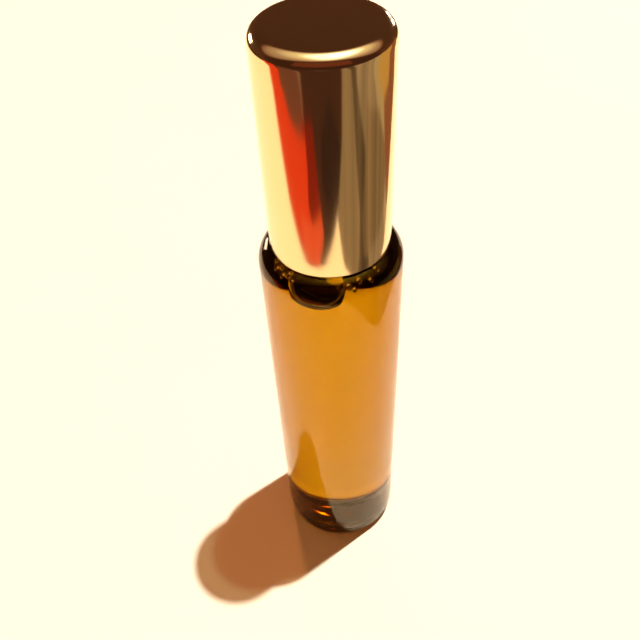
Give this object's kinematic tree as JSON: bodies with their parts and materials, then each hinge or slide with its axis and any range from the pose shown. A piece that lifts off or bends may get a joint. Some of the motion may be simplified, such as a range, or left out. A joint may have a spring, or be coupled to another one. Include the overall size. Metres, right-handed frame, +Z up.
{
  "type": "roll-on bottle",
  "caption": "Slim amber glass roll-on bottle with a screw-thread neck, a steel roller ball in a plastic insert, and a tall gold screw cap with an inner liner and seal.",
  "frame": {"origin": "centre of the base, on the plane of the foot ring that the bottle stands on", "axes": "+Z up the bottle's axis towards the cap; +X and +Y across it, the ball's modelled roll axis is X"},
  "size_m": [0.02, 0.02, 0.096],
  "materials": {
    "amber_glass": "clear, smooth, amber tinted",
    "gold_metal": "mirror polished, gold anodised",
    "housing_plastic": "natural translucent white",
    "ball_steel": "polished",
    "liner_plastic": "white, moulded",
    "seal_foam": "soft, matt",
    "liquid": "clear oil"
  },
  "bodies": {
    "bottle": {"glass_bottle": "amber_glass", "ball_housing": "housing_plastic"},
    "ball": {"roller_ball": "ball_steel"},
    "seal": {"cap_pad": "seal_foam"},
    "cap": {"cap_shell": "gold_metal", "cap_liner": "liner_plastic"}
  },
  "joints": [
    {"name": "ball_roll", "type": "hinge", "parent": "bottle", "child": "ball", "pos_m": [0, 0, 0.0821], "axis": [1, 0, 0], "continuous": true},
    {"name": "cap_rise", "type": "slide", "parent": "bottle", "child": "seal", "axis": [0, 0, 1], "range_m": [0, 0.0037]},
    {"name": "cap_turn", "type": "hinge", "parent": "seal", "child": "cap", "pos_m": [0, 0, 0], "axis": [0, 0, 1], "range_deg": [0, 630]}
  ],
  "couplings": [
    {"joint": "cap_rise", "follows": "cap_turn", "m_per_rad": 0.00033693}
  ]
}
